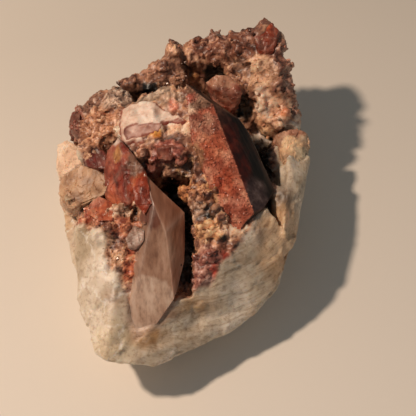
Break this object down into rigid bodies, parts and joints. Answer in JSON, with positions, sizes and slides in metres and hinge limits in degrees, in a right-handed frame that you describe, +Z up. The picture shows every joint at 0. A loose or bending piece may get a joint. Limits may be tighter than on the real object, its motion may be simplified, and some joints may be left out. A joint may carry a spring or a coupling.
{
  "type": "ferruginous quartz specimen",
  "caption": "Hand specimen of iron-stained quartz: a broken lump of massive quartz that carries flat-faced quartz points and a crust of small crystals, resting on a flat broken face.",
  "frame": {"origin": "centre of the flat broken face that the specimen rests on", "axes": "+Z up out of the resting face, +Y along the specimen's length towards the high crusted end, +X to the right when the two large points face up"},
  "size_m": [0.0732, 0.0996, 0.045],
  "materials": {
    "iron_stained_quartz": "glassy crystal faces, sparkling crust and waxy broken quartz, stained brown-red by iron oxide"
  },
  "bodies": {
    "root": {"quartz_cluster": "iron_stained_quartz"}
  },
  "joints": []
}
